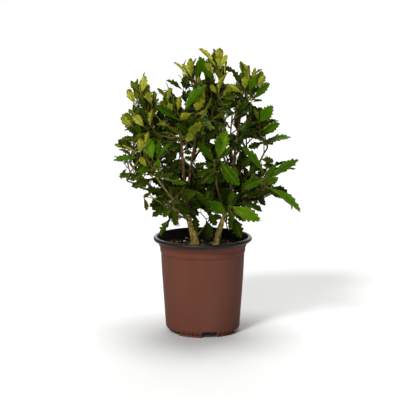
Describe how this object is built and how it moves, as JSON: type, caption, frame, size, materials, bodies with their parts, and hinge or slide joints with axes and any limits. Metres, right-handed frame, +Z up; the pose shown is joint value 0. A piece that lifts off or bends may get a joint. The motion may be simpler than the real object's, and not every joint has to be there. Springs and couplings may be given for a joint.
{
  "type": "potted holly",
  "caption": "Young bushy evergreen holly with two stems and spiny leaves, standing in a round brown nursery pot filled with potting mix.",
  "frame": {"origin": "centre of the pot's foot, on the floor it stands on", "axes": "+Z up the pot's axis, -Y towards the front of the picture, +X to the right seen from the front"},
  "size_m": [0.4053, 0.3586, 0.6364],
  "materials": {
    "pot_plastic": "matt brown thermoformed plastic with a black inside and rim",
    "potting_mix": "loose bark mix with a few white grains",
    "bark": "smooth tan bark with darker patches",
    "leaves": "glossy leathery leaves, yellow green at the shoot tips"
  },
  "bodies": {
    "root": {"pot": "pot_plastic", "soil": "potting_mix", "stem_left": "bark", "stem_right": "bark", "sucker": "bark", "bough_left_up": "bark", "bough_left_low": "bark", "bough_left_front": "bark", "bough_left_tip": "bark", "bough_top_left": "bark", "bough_centre": "bark", "bough_front_up": "bark", "bough_front_low_left": "bark", "bough_back_left": "bark", "bough_back_low_left": "bark", "bough_back_top": "bark", "bough_right_up": "bark", "bough_top_centre": "bark", "bough_upper_right": "bark", "bough_right_side": "bark", "bough_right_low": "bark", "bough_low_right": "bark", "bough_front": "bark", "bough_front_low_right": "bark", "bough_back_right": "bark", "bough_back_low_right": "bark", "bough_back": "bark", "foliage_top_centre": "leaves", "foliage_top_crown": "leaves", "foliage_upper_left": "leaves", "foliage_top_left": "leaves", "foliage_left": "leaves", "foliage_left_tip": "leaves", "foliage_left_front": "leaves", "foliage_front_up": "leaves", "foliage_front_low_left": "leaves", "foliage_back_left": "leaves", "foliage_back_low_left": "leaves", "foliage_back_top": "leaves", "foliage_upper_right": "leaves", "foliage_top_right": "leaves", "foliage_right": "leaves", "foliage_right_low": "leaves", "foliage_low_right": "leaves", "foliage_front": "leaves", "foliage_front_low_right": "leaves", "foliage_back_right": "leaves", "foliage_back_low_right": "leaves", "foliage_back": "leaves", "foliage_heart": "leaves"}
  },
  "joints": []
}
